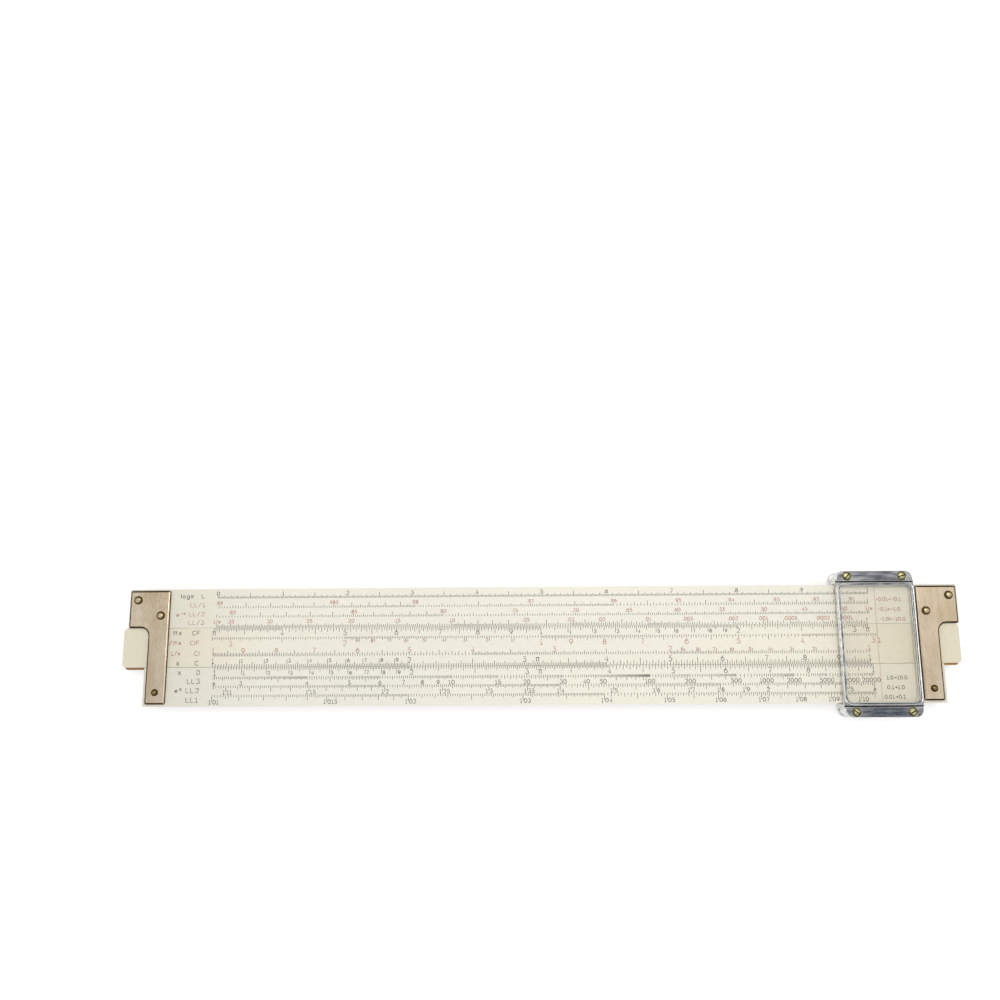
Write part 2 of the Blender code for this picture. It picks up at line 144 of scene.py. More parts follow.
def newMaterial(name, **shader):
    # socket names are written without their spaces; returns the material, its tree, its shader and the Object
    # coordinates
    material = bpy.data.materials.new(name)
    material.use_nodes = True
    tree = material.node_tree
    surface = tree.nodes["Principled BSDF"]
    for socket in surface.inputs:
        if socket.name.replace(" ", "") in shader:
            socket.default_value = shader[socket.name.replace(" ", "")]
    return material, tree, surface, addNode(tree, "ShaderNodeTexCoord").outputs["Object"]


def pattern(tree, coords, sizes, detail=3.0):
    # noise whose grains have these sizes in millimetres along x, y and z
    placed = addNode(tree, "ShaderNodeMapping", inputs={
        "Vector": coords, "Scale": tuple(perMetre(size) for size in sizes)})
    return addNode(tree, "ShaderNodeTexNoise", inputs={
        "Vector": placed.outputs["Vector"], "Scale": 1.0, "Detail": detail, "Roughness": 0.55}).outputs["Fac"]


def ramp(tree, fac, stops):
    node = addNode(tree, "ShaderNodeValToRGB", inputs={"Fac": fac})
    for spot, (place, colour) in enumerate(stops):
        stop = node.color_ramp.elements[spot] if spot < 2 else node.color_ramp.elements.new(place)
        stop.position, stop.color = place, linear(colour)
    return node.outputs["Color"]


def blendColours(tree, mode, amount, first, second):
    # sockets 0, 6 and 7 are the factor and the two colours; output 2 is the colour
    return addNode(tree, "ShaderNodeMix", {"data_type": "RGBA", "blend_type": mode},
                   {0: amount, 6: first, 7: second}).outputs[2]


def span(tree, fac, low, high, start=0.3, end=0.7, shape="LINEAR"):
    # start to end becomes low to high; a noise lies mostly between 0.3 and 0.7
    return addNode(tree, "ShaderNodeMapRange", {"interpolation_type": shape}, {
        "Value": fac, "From Min": start, "From Max": end, "To Min": low, "To Max": high}).outputs["Result"]


def relief(tree, surface, fac, strength, height):
    bump = addNode(tree, "ShaderNodeBump", inputs={
        "Height": fac, "Strength": strength, "Distance": height * mm})
    tree.links.new(bump.outputs["Normal"], surface.inputs["Normal"])


def dress(tree, surface, colour, roughness):
    tree.links.new(colour, surface.inputs["Base Color"])
    tree.links.new(roughness, surface.inputs["Roughness"])


def calc(tree, operation, *values):
    return addNode(tree, "ShaderNodeMath", {"operation": operation}, dict(enumerate(values))).outputs[0]


def axes(tree, vector):
    return addNode(tree, "ShaderNodeSeparateXYZ", inputs={"Vector": vector}).outputs


def grimeAttribute(tree):
    # how much painted shade a turned part takes at each point: more towards its rim and down its slot
    return addNode(tree, "ShaderNodeAttribute", {"attribute_name": "rimGrime"}).outputs["Fac"]


def makeCelluloid(name, pale, yellowed, handled):
    # sheet celluloid, planed and polished: cream that has yellowed unevenly, with a soft sheen and faint
    # planing lines; the outer ends, which fingers hold, are browner
    material, tree, surface, coords = newMaterial(name, Roughness=0.36, IOR=1.5)
    age = pattern(tree, coords, (90, 40, 40), 2.0)
    fine = pattern(tree, coords, (2.6, 0.9, 0.9), 4.0)
    tone = ramp(tree, age, [(0.30, pale), (0.72, yellowed)])
    speck = ramp(tree, fine, [(0.25, "#F7F4EC"), (0.60, "#FFFFFF")])
    tone = blendColours(tree, "MULTIPLY", 0.6, tone, speck)
    fromMiddle = calc(tree, "ABSOLUTE", axes(tree, coords)["X"])
    ends = span(tree, fromMiddle, 0.0, 1.0, 100 * mm, 150 * mm, "SMOOTHSTEP")
    tone = blendColours(tree, "MULTIPLY", ends, tone, linear(handled))
    dress(tree, surface, tone, span(tree, fine, 0.30, 0.42))
    relief(tree, surface, pattern(tree, coords, (9, 0.25, 0.25)), 0.06, 0.02)
    return material


def makeBamboo():
    # laminated bamboo, planed: tan with darker fibre bundles about 0.4 mm wide along the rule, matt
    material, tree, surface, coords = newMaterial("laminatedBamboo", Roughness=0.6, IOR=1.45)
    fibre = pattern(tree, coords, (38, 0.4, 0.4), 4.0)
    strip = pattern(tree, coords, (220, 2.4, 5.0), 1.0)
    tone = ramp(tree, fibre, [(0.30, "#8E6C42"), (0.48, "#BF9A66"), (0.70, "#D9BA86")])
    plies = ramp(tree, strip, [(0.35, "#C7B79C"), (0.60, "#FFFFFF")])
    dress(tree, surface, blendColours(tree, "MULTIPLY", 0.8, tone, plies), span(tree, fibre, 0.70, 0.48))
    relief(tree, surface, fibre, 0.35, 0.06)
    return material


def makeNickelSilver():
    # rolled nickel silver, brushed across the rule with a fine belt: warm pale metal with long streaks of
    # uneven brightness; its eases and walls carry painted shade, dark brown where their normal rises little,
    # but the inner ones, which face the cursor, are left without it; the scratches are drawn 0.17 mm wide,
    # coarser than the real 0.03 mm, to show
    material, tree, surface, coords = newMaterial("brushedNickelSilver", Metallic=1.0)
    scratch = pattern(tree, coords, (0.17, 2.4, 0.6), 3.0)
    streak = pattern(tree, coords, (2.2, 30.0, 4.0), 2.0)
    tarnish = pattern(tree, coords, (11.0, 16.0, 11.0), 2.0)
    tone = ramp(tree, streak, [(0.28, "#DBCBB3"), (0.52, "#E2D3BC"), (0.76, "#E9DCC7")])
    lines = ramp(tree, scratch, [(0.28, "#BFB5A6"), (0.64, "#FFFFFF")])
    worn = blendColours(tree, "MULTIPLY", 0.75, tone, lines)
    dull = ramp(tree, tarnish, [(0.34, "#E6DDCC"), (0.58, "#FFFFFF")])
    worn = blendColours(tree, "MULTIPLY", 0.7, worn, dull)
    # an ease's two facets lie 22.5 and 67.5 degrees from the flat; walls have a normal that hardly rises
    facing = axes(tree, addNode(tree, "ShaderNodeNewGeometry").outputs["Normal"])
    rise = calc(tree, "ABSOLUTE", facing["Z"])
    inward = calc(tree, "MULTIPLY", facing["X"], calc(tree, "SIGN", axes(tree, coords)["X"]))
    inner = span(tree, inward, 0.0, 1.0, -0.28, -0.36)
    unshadedInnerEase = calc(tree, "MULTIPLY", inner, calc(tree, "GREATER_THAN", rise, 0.55))
    # painted shade: eases and walls turn dark brown by how little their normal rises; the inner eases keep the
    # metal's own colour
    easeShade = ramp(tree, rise, [(0.925, "#4A3D2A"), (0.99, "#FFFFFF")])
    easeShade = blendColours(tree, "MIX", unshadedInnerEase, easeShade, linear("#FFFFFF"))
    dress(tree, surface, blendColours(tree, "MULTIPLY", 1.0, worn, easeShade), span(tree, scratch, 0.38, 0.24))
    relief(tree, surface, scratch, 0.15, 0.02)
    return material


def makePolishedNickel():
    # nickel silver, turned and polished: warm domes that shine, with painted shade turning them darker and
    # browner towards the rim, where they meet the bracket
    material, tree, surface, coords = newMaterial("polishedNickel", Metallic=1.0, Roughness=0.2)
    handled = pattern(tree, coords, (0.5, 0.5, 0.5), 3.0)
    tone = ramp(tree, handled, [(0.30, "#A9A083"), (0.70, "#CBC2A6")])
    # painted shade: darker and browner towards the rim
    rimShade = ramp(tree, grimeAttribute(tree), [
        (0.0, "#FFFFFF"), (0.25, "#BDB08D"), (0.70, "#70633F"), (1.0, "#3C301C")])
    dress(tree, surface, blendColours(tree, "MULTIPLY", 1.0, tone, rimShade), span(tree, handled, 0.26, 0.38))
    return material


# where the chrome's groove is, and how far its painted shade reaches to each side and down
capGrooveShade = {"fromMiddle": 23.25, "halfWidth": 0.26, "rulePlane": 5.5, "above": 4.6, "halfDepth": 0.3}


def makeChrome():
    # chromed brass, buffed by hand: bluish mirror that wavers a little, with hairline rub marks along the
    # rule; the groove between each cap and the window's bezel carries painted shade, dark grey
    material, tree, surface, coords = newMaterial("buffedChrome", Metallic=1.0)
    waver = pattern(tree, coords, (11.0, 3.0, 9.0), 1.0)
    rubs = pattern(tree, coords, (7.0, 0.16, 0.5), 3.0)
    haze = pattern(tree, coords, (9.0, 1.3, 5.0), 3.0)
    tone = ramp(tree, haze, [(0.32, "#C4C5C6"), (0.60, "#E2E1DE")])
    place, cut = axes(tree, coords), capGrooveShade

    def near(size, target, reach):
        off = calc(tree, "ABSOLUTE", calc(tree, "SUBTRACT", size, target * mm))
        return calc(tree, "LESS_THAN", off, reach * mm)

    fromPlane = calc(tree, "ABSOLUTE", calc(tree, "SUBTRACT", place["Z"], cut["rulePlane"] * mm))
    across = near(calc(tree, "ABSOLUTE", place["Y"]), cut["fromMiddle"], cut["halfWidth"])
    grooveShade = calc(tree, "MULTIPLY", across, near(fromPlane, cut["above"], cut["halfDepth"]))
    # painted shade: the groove round each cap is dark grey
    tone = blendColours(tree, "MIX", grooveShade, tone, linear("#3E4144"))
    dress(tree, surface, tone, span(tree, haze, 0.16, 0.07))
    first = addNode(tree, "ShaderNodeBump", inputs={
        "Height": waver, "Strength": 0.60, "Distance": 0.25 * mm})
    second = addNode(tree, "ShaderNodeBump", inputs={
        "Height": rubs, "Strength": 0.12, "Distance": 0.01 * mm, "Normal": first.outputs["Normal"]})
    tree.links.new(second.outputs["Normal"], surface.inputs["Normal"])
    return material


def makeBrass():
    # turned brass, lacquer gone: greenish yellow, with painted shade dark in the slot and round the head
    material, tree, surface, coords = newMaterial("wornBrass", Metallic=1.0)
    stain = pattern(tree, coords, (0.7, 0.7, 0.7), 4.0)
    tone = ramp(tree, stain, [(0.30, "#949176"), (0.50, "#B9B692"), (0.72, "#DCD9BA")])
    # painted shade: dark down the slot and towards the rim
    rimShade = ramp(tree, grimeAttribute(tree), [(0.0, "#FFFFFF"), (0.5, "#BDB795"), (1.0, "#54502F")])
    dress(tree, surface, blendColours(tree, "MULTIPLY", 1.0, tone, rimShade), span(tree, stain, 0.46, 0.26))
    relief(tree, surface, stain, 0.15, 0.02)
    return material


def makeBronze():
    # hard rolled phosphor bronze strip: coppery, with a fine roll grain along it
    material, tree, surface, coords = newMaterial("springBronze", Metallic=1.0)
    grain = pattern(tree, coords, (6.0, 0.2, 0.2))
    tone = ramp(tree, grain, [(0.3, "#9C6B42"), (0.7, "#C99466")])
    dress(tree, surface, tone, span(tree, grain, 0.40, 0.26))
    return material


def makeWindow():
    # clear window sheet, polished: it dims and warms what lies under it a little; lamps shine through it
    material, tree, surface, coords = newMaterial(
        "windowGlass", IOR=1.5, TransmissionWeight=1.0, BaseColor=linear("#F8F8F9"))
    smear = pattern(tree, coords, (6.0, 14.0, 6.0), 3.0)
    tree.links.new(span(tree, smear, 0.0, 0.012), surface.inputs["Roughness"])
    passing = addNode(tree, "ShaderNodeBsdfTransparent", inputs={"Color": linear("#FAFAF8")})
    ray = addNode(tree, "ShaderNodeLightPath")
    mixed = addNode(tree, "ShaderNodeMixShader", inputs={
        0: ray.outputs["Is Shadow Ray"], 1: surface.outputs["BSDF"], 2: passing.outputs["BSDF"]})
    tree.links.new(mixed.outputs["Shader"], tree.nodes["Material Output"].inputs["Surface"])
    return material


def makeInk(name, deep, worn):
    # engraved lines filled with paint and wiped: matt, a little thin in places
    material, tree, surface, coords = newMaterial(name, Roughness=0.62, IOR=1.45)
    wiped = pattern(tree, coords, (1.1, 1.1, 1.1), 4.0)
    dress(tree, surface, ramp(tree, wiped, [(0.35, deep), (0.75, worn)]), span(tree, wiped, 0.55, 0.70))
    return material


slotFinish = {
    "celluloid": makeCelluloid("agedCelluloid", "#E0DFD7", "#E6E3D6", "#F2F1EC"), "bamboo": makeBamboo(),
    "nickel_silver": makeNickelSilver(), "polished_nickel": makePolishedNickel(), "chrome": makeChrome(),
    "brass": makeBrass(), "spring_bronze": makeBronze(), "window_glass": makeWindow(),
}
slideCelluloid = makeCelluloid("yellowedCelluloid", "#E1DFD6", "#E6E2D3", "#F1EEE4")
inks = {
    "black": makeInk("blackScaleInk", "#222528", "#3C3F41"),
    "red": makeInk("redScaleInk", "#A4564C", "#C0847A"),
}
for node in nodes.values():
    for place in node.material_slots:
        place.material = slotFinish[place.material.name.split(".")[0]]
for name in ("slide_front_face", "slide_back_face"):      # the slide has yellowed more
    nodes[name].material_slots[0].material = slideCelluloid
print("finishes ready:", len(slotFinish) + len(inks))


# finer brackets, frames and rails

fineCopies = [
    {"bevel": 0.09, "steps": 2, "slot": "nickel_silver", "body": "rule_body",
     "nodes": ["left_front_bracket", "right_front_bracket", "left_back_bracket", "right_back_bracket"]},
    {"bevel": 0.12, "steps": 3, "slot": "chrome", "body": "cursor",
     "nodes": ["cursor_front_frame", "cursor_back_frame"]},
    {"bevel": 0.15, "steps": 2, "slot": "chrome", "body": "cursor",
     "nodes": ["cursor_upper_rail", "cursor_lower_rail"]},
]
weldReach, roundedFrom = 0.001, 32      # millimetres, and degrees between two faces


def camelCase(node):
    first, *others = node.split("_")
    return first + "".join(word.capitalize() for word in others)


def fineCopy(node, kind):
    # the CAD solid's own shape, its loose triangles joined and its sharp edges rounded as a file leaves them
    name = camelCase(node)
    shape = bmesh.new()
    shape.from_mesh(nodes[node].data)
    bmesh.ops.remove_doubles(shape, verts=shape.verts, dist=weldReach * mm)
    mesh = meshFrom(shape, name)
    mesh.materials.clear()
    mesh.materials.append(slotFinish[kind["slot"]])
    holder = linkObject(name, mesh)
    rounding = holder.modifiers.new("rounded", "BEVEL")
    rounding.width = kind["bevel"] * mm
    rounding.segments = kind["steps"]
    rounding.limit_method = "ANGLE"
    rounding.angle_limit = math.radians(roundedFrom)
    made = settle(holder, kind["body"], [node])
    for face in made.data.polygons:
        # flats and 45 degree faces stay flat, so that no shading bends across them; the rest is smooth
        parts = sorted(abs(part) for part in face.normal)
        face.use_smooth = parts[2] < 0.9995 and not (parts[0] < 0.02 and abs(parts[1] - parts[2]) < 0.02)


for kind in fineCopies:
    for node in kind["nodes"]:
        fineCopy(node, kind)
print("finer plates and frames:", sum(len(kind["nodes"]) for kind in fineCopies))


# posts, rivets and screws, turned on a lathe and set by Geometry Nodes

sides, places = ("left", "right"), ("outer", "inner")
# the unshaded part of the radius, from the axis, takes no painted shade at the rim; angles are how the screws'
# slots stand
turnedParts = {
    "bracketPosts": {
        "shank": 1.1, "head": 1.6, "rim": 0.22, "dome": 0.6, "clean": 0.40,
        "nodes": [f"{side}_{place}_post" for side in sides for place in places]},
    "bracketRivets": {
        "shank": 0.8, "head": 1.3, "rim": 0.16, "dome": 0.48, "clean": -0.15, "headBelow": True,
        "nodes": [f"{side}_rivet" for side in sides]},
    "bracketBackScrews": {
        "shank": 0.6, "head": 1.5, "rim": 0.42, "dome": 0.28, "clean": 0.40,
        "slotWidth": 0.5, "slotDepth": 0.34, "angles": (25, -40, 70, 10),
        "nodes": [f"{side}_{place}_back_screw" for side in sides for place in places]},
    "cursorScrews": {
        "shank": 0.7, "head": 1.55, "rim": 0.46, "dome": 0.24, "clean": 0.40,
        "slotWidth": 0.45, "slotDepth": 0.32, "angles": (48, 12, -35, 28, -60, 80, 15, -20),
        "slot": "brass", "body": "cursor",
        "nodes": [f"cursor_{face}_{edge}_{side}_screw" for face in ("front", "back")
                  for edge in ("upper", "lower") for side in sides]},
}
lathe = {"steps": 40, "domeRings": 9, "cornerIn": 0.10, "cornerUp": 0.03, "sharpFrom": 38}
# painted shade fills the slot below this part of its depth, within this part of the head's radius
slotShade = {"depth": 0.7, "reach": 0.97}      # as parts of the slot's depth and of the head's radius


def domedHead(size, base):
    # a head's outline from the shank out and up to the axis, on a seat at this height, with its corner cut
    radius, rim, dome = size["head"], size["rim"], size["dome"]
    cut, small, rings = lathe["cornerIn"], lathe["cornerUp"], lathe["domeRings"]
    outline = [(size["shank"], base), (radius - cut, base), (radius - small, base + small),
               (radius, base + cut)]
    ball = (radius ** 2 + dome ** 2) / (2 * dome)
    for step in range(rings):
        r = radius * (1 - step / rings)
        outline.append((r, base + rim + math.sqrt(ball ** 2 - r ** 2) - (ball - dome)))
    return outline + [(0, base + rim + dome)]


def turnedPattern(name, size, tall):
    # one part, turned round the z axis into a closed body, with its slot cut across its head
    head = domedHead(size, tall - size["rim"] - size["dome"])
    foot = [(r, tall - z) for r, z in reversed(head)] if "headBelow" in size else [(0, 0), (size["shank"], 0)]
    outline, steps, rings = foot + head, lathe["steps"], []
    shape = bmesh.new()
    for r, z in outline:
        if r == 0:
            rings.append([shape.verts.new((0, 0, z * mm))])
        else:
            angles = [2 * math.pi * step / steps for step in range(steps)]
            rings.append([shape.verts.new((r * mm * math.cos(angle), r * mm * math.sin(angle), z * mm))
                          for angle in angles])
    for lower, upper in zip(rings, rings[1:]):
        for step in range(steps):
            ahead = (step + 1) % steps
            corners = [lower[step % len(lower)], lower[ahead % len(lower)], upper[ahead % len(upper)],
                       upper[step % len(upper)]]
            shape.faces.new(list(dict.fromkeys(corners)))
    bmesh.ops.recalc_face_normals(shape, faces=shape.faces)
    holder = linkObject(name, meshFrom(shape, name))
    reach, slotFloor = size["head"] * mm, None
    if "slotWidth" in size:
        width, depth = size["slotWidth"], size["slotDepth"]
        slotFloor = (tall - slotShade["depth"] * depth) * mm
        cutter = bmesh.new()
        bmesh.ops.create_cube(cutter, size=1)
        bmesh.ops.scale(cutter, vec=(4 * reach, width * mm, 2 * depth * mm), verts=cutter.verts)
        bmesh.ops.translate(cutter, vec=(0, 0, tall * mm), verts=cutter.verts)
        knife = linkObject(name + "Slot", meshFrom(cutter, name + "Slot"))
        cut = holder.modifiers.new("slot", "BOOLEAN")
        cut.operation, cut.solver, cut.object = "DIFFERENCE", "EXACT", knife
    mesh = plainMesh(holder)
    if slotFloor:
        bpy.data.objects.remove(knife)
    mesh.shade_smooth()
    mesh.set_sharp_from_angle(angle=math.radians(lathe["sharpFrom"]))
    # painted shade: darker towards the rim, from the unshaded part of the radius outwards, and fully dark down
    # in the slot
    rimShade = mesh.attributes.new("rimGrime", "FLOAT", "POINT")
    for vertex in mesh.vertices:
        away = math.hypot(vertex.co.x, vertex.co.y) / reach
        level = max(0.0, (away - size["clean"]) / (1 - size["clean"]))
        if slotFloor and vertex.co.z < slotFloor and away < slotShade["reach"]:
            level = 1.0
        rimShade.data[vertex.index].value = min(1.0, level)
    made = linkObject(name, mesh)
    made.hide_render = made.hide_viewport = True
    return made


def fastenerTree():
    # sets one turned part at every point, turned by the point's own attribute
    tree, given = newTree("fasteners", [("Fastener", "Object"), ("Finish", "Material")])
    part = addNode(tree, "GeometryNodeObjectInfo", inputs={"Object": given["Fastener"]})
    turn = addNode(tree, "GeometryNodeInputNamedAttribute", {"data_type": "FLOAT_VECTOR"}, {"Name": "turn"})
    rotation = addNode(tree, "FunctionNodeEulerToRotation", inputs={"Euler": turn.outputs["Attribute"]})
    placed = addNode(tree, "GeometryNodeInstanceOnPoints", inputs={
        "Points": given["Geometry"], "Instance": part.outputs["Geometry"],
        "Rotation": rotation.outputs["Rotation"]})
    endTree(tree, placed.outputs["Instances"], given["Finish"])
    return tree


def nodeSpot(node):
    low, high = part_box(node)
    return (low.x + high.x) / 2 / mm, (low.y + high.y) / 2 / mm, low.z / mm, high.z / mm


def setFasteners(name, size, tree):
    # one pattern, set wherever the CAD has such a part; those of the back stand on their heads
    low, high = nodeSpot(size["nodes"][0])[2:]
    part = turnedPattern(name + "Pattern", size, high - low)
    points, turns = [], []
    for node, angle in zip(size["nodes"], size.get("angles", [0] * len(size["nodes"]))):
        x, y, low, high = nodeSpot(node)
        flipped = "back" in node
        points.append((x * mm, y * mm, (high if flipped else low) * mm))
        turns.append((math.pi if flipped else 0, 0, math.radians(angle)))
    mesh = bpy.data.meshes.new(name + "Points")
    mesh.from_pydata(points, [], [])
    turn = mesh.attributes.new("turn", "FLOAT_VECTOR", "POINT")
    for spot, value in enumerate(turns):
        turn.data[spot].vector = value
    slotName = size.get("slot", "polished_nickel")
    holder = runTree(name, mesh, tree, {"Fastener": part, "Finish": slotFinish[slotName]})
    settle(holder, size.get("body", "rule_body"), size["nodes"])
    bpy.data.objects.remove(part)


setting = fastenerTree()
for name, size in turnedParts.items():
    setFasteners(name, size, setting)
print("fasteners set:", sum(len(size["nodes"]) for size in turnedParts.values()))


# the engraver's single-stroke figures, capitals one unit high
# a stroke is a list of points (x, y) and arcs (x, y, half width, half height, first angle, last angle)

figures = {
    "0": [[(0.35, 0.5, 0.35, 0.5, 90, 450)]],
    "1": [[(0.04, 0.80), (0.26, 1), (0.26, 0)], [(0.04, 0), (0.48, 0)]],
    "2": [[(0.32, 0.69, 0.30, 0.31, 165, -38), (0, 0), (0.64, 0)]],
    "3": [[(0.04, 1), (0.58, 1), (0.28, 0.62), (0.30, 0.31, 0.31, 0.31, 80, -160)]],
    "4": [[(0.48, 0), (0.48, 1), (0, 0.28), (0.66, 0.28)]],
    "5": [[(0.58, 1), (0.12, 1), (0.07, 0.56), (0.30, 0.33, 0.32, 0.33, 125, -150)]],
    "6": [[(0.32, 0.32, 0.32, 0.32, 90, 450)], [(0.50, 1), (0.18, 0.70), (0.02, 0.42)]],
    "7": [[(0, 1), (0.60, 1), (0.22, 0)]],
    "8": [[(0.32, 0.76, 0.25, 0.24, 90, 450)], [(0.32, 0.26, 0.32, 0.26, 90, 450)]],
    "9": [[(0.32, 0.68, 0.32, 0.32, 90, 450)], [(0.14, 0), (0.46, 0.30), (0.62, 0.58)]],
    ".": [[(0.07, 0), (0.07, 0.16)]],
    "-": [[(0, 0.48), (0.42, 0.48)]],
    "/": [[(0, -0.08), (0.44, 1.08)]],
    "p": [[(0, 0.82), (0.80, 0.82)], [(0.22, 0.82), (0.16, 0)], [(0.58, 0.82), (0.62, 0)]],
    "e": [[(0.04, 0.33), (0.56, 0.33), (0.30, 0.32, 0.27, 0.32, 5, 315)]],
    "x": [[(0, 0), (0.50, 0.80)], [(0, 0.80), (0.50, 0)]],
    "l": [[(0, 0), (0, 1)]],
    "o": [[(0.24, 0.31, 0.24, 0.31, 90, 450)]],
    "g": [[(0.24, 0.33, 0.24, 0.30, 90, 450)],
          [(0.48, 0.63), (0.48, -0.10), (0.25, -0.10, 0.23, 0.20, 0, -150)]],
    "A": [[(0, 0), (0.32, 1), (0.64, 0)], [(0.12, 0.36), (0.52, 0.36)]],
    "B": [[(0, 0), (0, 1), (0.28, 0.76, 0.22, 0.24, 90, -90), (0, 0.52)],
          [(0, 0.52), (0.30, 0.26, 0.25, 0.26, 90, -90), (0, 0)]],
    "C": [[(0.35, 0.5, 0.35, 0.5, 48, 312)]],
    "D": [[(0, 0), (0, 1), (0.20, 0.5, 0.38, 0.5, 90, -90), (0, 0)]],
    "F": [[(0.52, 1), (0, 1), (0, 0)], [(0, 0.53), (0.42, 0.53)]],
    "I": [[(0, 0), (0, 1)]],
    "K": [[(0, 0), (0, 1)], [(0.54, 1), (0, 0.42)], [(0.18, 0.62), (0.56, 0)]],
    "L": [[(0, 1), (0, 0), (0.50, 0)]],
    "S": [[(0.28, 0.75, 0.25, 0.25, 30, 270), (0.29, 0.25, 0.27, 0.25, 90, -150)]],
    "T": [[(0, 1), (0.60, 1)], [(0.30, 1), (0.30, 0)]],
    ">": [[(0, 0.46), (0.74, 0.46)], [(0.50, 0.66), (0.74, 0.46), (0.50, 0.26)]],
    "<": [[(0, 0.46), (0.74, 0.46)], [(0.24, 0.66), (0, 0.46), (0.24, 0.26)]],
}
lettering = {"gap": 0.27, "space": 0.42, "arcStep": 30}


def strokePoints(stroke):
    points = []
    for item in stroke:
        if len(item) == 2:
            points.append(item)
            continue
        x, y, halfWidth, halfHeight, first, last = item
        count = max(2, round(abs(last - first) / lettering["arcStep"]))
        for step in range(count + 1):
            angle = math.radians(first + (last - first) * step / count)
            points.append((x + halfWidth * math.cos(angle), y + halfHeight * math.sin(angle)))
    return points


def layText(text, size, spread=1.0, stretch=1.0):
    # the text's strokes from its left foot, in millimetres, and its width
    strokes, at = [], 0.0
    for letter in text:
        if letter == " ":
            at += lettering["space"]
            continue
        lines = [strokePoints(stroke) for stroke in figures[letter]]
        strokes += [[((x * stretch + at) * size, y * size) for x, y in line] for line in lines]
        at += stretch * max(x for line in lines for x, _ in line) + lettering["gap"] * spread
    return strokes, (at - lettering["gap"] * spread) * size


# the scales

index = {"left": -125.0, "length": 250.0}     # where the D scale starts, and how long a scale is
faces = {
    # the height of each printed face and which way it is read; the back is read with the rule turned over,
    # top to foot
    ("rule_body", "front"): (faceHeight("upper_stator_front_face", 1), 1),
    ("slide", "front"): (faceHeight("slide_front_face", 1), 1),
    ("rule_body", "back"): (faceHeight("upper_stator_back_face", 0), -1),
    ("slide", "back"): (faceHeight("slide_back_face", 0), -1),
}
low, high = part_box("slide_core")
slideShift = (low.x + high.x) / 2 / mm        # the slide rests a little to the left
marks = {(body, face, ink): {"ticks": [], "strokes": []} for body, face in faces for ink in inks}


def write(body, face, ink, text, x, y, size, align="middle", spread=1.0, stretch=1.0):
    strokes, width = layText(text, size, spread, stretch)
    left = x - width * {"left": 0, "middle": 0.5, "right": 1}[align]
    foot = y - size / 2
    marks[body, face, ink]["strokes"] += [[(left + u, foot + v) for u, v in line] for line in strokes]


def tick(body, face, x, first, last):
    marks[body, face, "black"]["ticks"].append((x, min(first, last), abs(last - first)))


def logLog(shift, sign=1):
    return lambda value: log10(sign * math.log(value)) + shift


